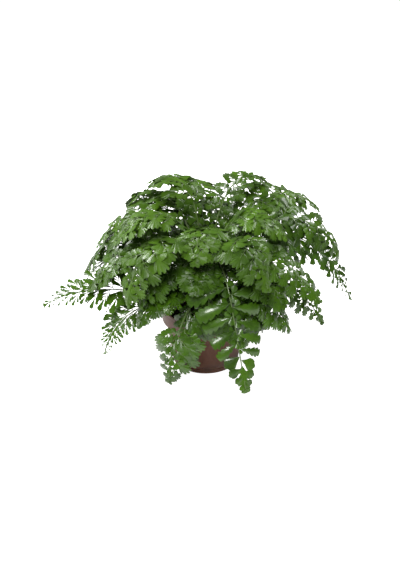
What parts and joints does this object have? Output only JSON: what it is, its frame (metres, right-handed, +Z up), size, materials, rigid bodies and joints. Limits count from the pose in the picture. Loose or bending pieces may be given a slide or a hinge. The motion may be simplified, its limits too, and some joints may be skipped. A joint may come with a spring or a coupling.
{
  "type": "potted fern",
  "caption": "Spleenwort fern with arching, toothed, divided fronds from one crown, growing in potting mix in a round tapered nursery pot; stands on its flat base.",
  "frame": {"origin": "centre of the pot's flat underside, on the pot's axis", "axes": "+Z up along the pot's axis; -Y is the front, where the two longest hanging fronds cover the pot; +X is to the right seen from the front"},
  "size_m": [0.3889, 0.3342, 0.2362],
  "materials": {
    "pot_plastic": "semi-matt brown",
    "potting_mix": "rough dark peat",
    "crown_scales": "rough brown scales",
    "leaf_lower": "leathery, semi-gloss deep green",
    "leaf_middle": "leathery, semi-gloss mid green",
    "leaf_upper": "leathery, semi-gloss fresh green"
  },
  "bodies": {
    "root": {"pot": "pot_plastic", "potting_mix": "potting_mix", "rhizome_crown": "crown_scales", "frond_skirt_left": "leaf_lower", "frond_skirt_front_left": "leaf_lower", "frond_skirt_front_right": "leaf_lower", "frond_skirt_right": "leaf_lower", "frond_skirt_right_small": "leaf_lower", "frond_skirt_rear_right": "leaf_lower", "frond_skirt_rear": "leaf_lower", "frond_skirt_rear_left": "leaf_lower", "frond_skirt_far_left": "leaf_lower", "frond_skirt_left_rear": "leaf_lower", "frond_skirt_front": "leaf_lower", "frond_skirt_front_right_short": "leaf_lower", "frond_skirt_right_front": "leaf_lower", "frond_skirt_inner_front_left": "leaf_lower", "frond_skirt_inner_left": "leaf_lower", "frond_skirt_left_arch": "leaf_lower", "frond_skirt_inner_rear": "leaf_lower", "frond_lower_left": "leaf_lower", "frond_lower_right": "leaf_lower", "frond_lower_front_left": "leaf_lower", "frond_lower_front_right": "leaf_lower", "frond_lower_rear_right": "leaf_lower", "frond_lower_rear": "leaf_lower", "frond_lower_rear_mid": "leaf_lower", "frond_lower_rear_left": "leaf_lower", "frond_lower_far_left": "leaf_lower", "frond_lower_left_arch": "leaf_lower", "frond_lower_front": "leaf_lower", "frond_lower_inner_left": "leaf_lower", "frond_lower_inner_rear": "leaf_lower", "frond_middle_right_front": "leaf_middle", "frond_middle_front": "leaf_middle", "frond_middle_front_right": "leaf_middle", "frond_middle_front_left": "leaf_middle", "frond_middle_left_front": "leaf_middle", "frond_middle_left": "leaf_middle", "frond_middle_far_left": "leaf_middle", "frond_middle_rear_left": "leaf_middle", "frond_middle_rear": "leaf_middle", "frond_middle_inner_front_right": "leaf_middle", "frond_middle_inner_right": "leaf_middle", "frond_upper_right": "leaf_upper", "frond_upper_right_rear": "leaf_upper", "frond_upper_rear_right": "leaf_upper", "frond_upper_front_right": "leaf_upper", "frond_upper_front_left": "leaf_upper", "frond_upper_left": "leaf_upper", "frond_upper_rear_left": "leaf_upper", "frond_upper_rear": "leaf_upper", "frond_upper_inner_front": "leaf_upper", "frond_top_right": "leaf_upper", "frond_top_left": "leaf_upper", "frond_top_left_front": "leaf_upper", "frond_top_front": "leaf_upper", "frond_top_right_front": "leaf_upper"}
  },
  "joints": []
}
